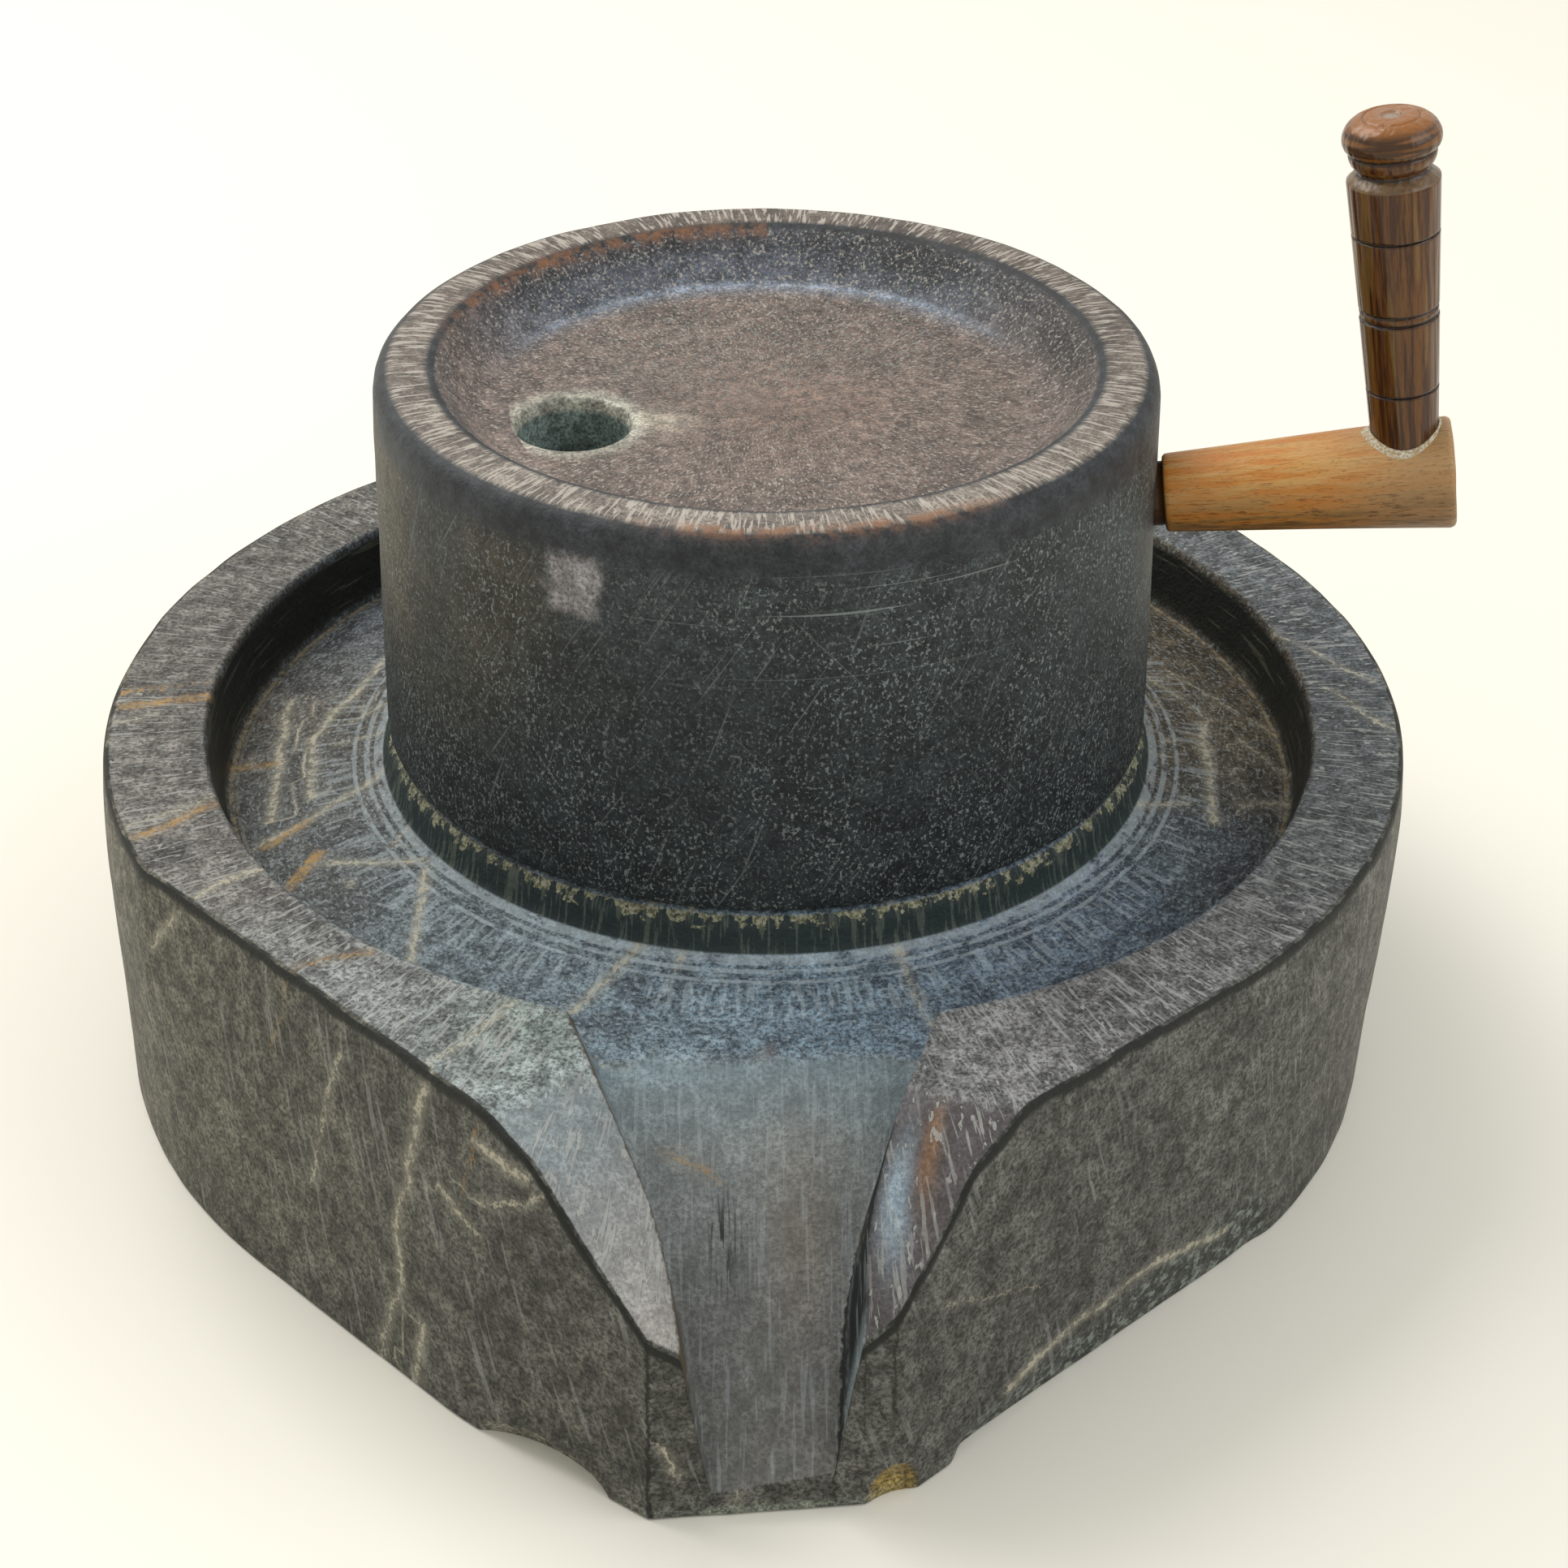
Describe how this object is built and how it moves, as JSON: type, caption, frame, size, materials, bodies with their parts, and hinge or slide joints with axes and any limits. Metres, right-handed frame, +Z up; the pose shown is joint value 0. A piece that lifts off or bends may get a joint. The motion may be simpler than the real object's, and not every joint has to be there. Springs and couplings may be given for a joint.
{
  "type": "rotary quern",
  "caption": "Stone hand quern: a dished runner stone with a feed hole and a wooden crank handle turns on a base with a raised bed, a collecting trough and a pouring spout.",
  "frame": {"origin": "the point where the runner's axis of rotation meets the flat underside of the base", "axes": "+Z up along the axis of rotation, -Y towards the pouring spout, +X towards the crank handle's side at rest"},
  "size_m": [0.3544, 0.3857, 0.2701],
  "materials": {
    "base_stone": "honed dark grey marble with pale and ochre veins, chiselled flanks",
    "runner_stone": "honed black speckled stone",
    "arm_wood": "oiled",
    "grip_wood": "turned and lacquered"
  },
  "bodies": {
    "base": {"bedstone": "base_stone"},
    "runner": {"runner_stone": "runner_stone", "handle_arm": "arm_wood", "handle_grip": "grip_wood"}
  },
  "joints": [
    {"name": "runner_turn", "type": "hinge", "parent": "base", "child": "runner", "pos_m": [0, 0, 0.0955], "axis": [0, 0, 1], "continuous": true}
  ]
}
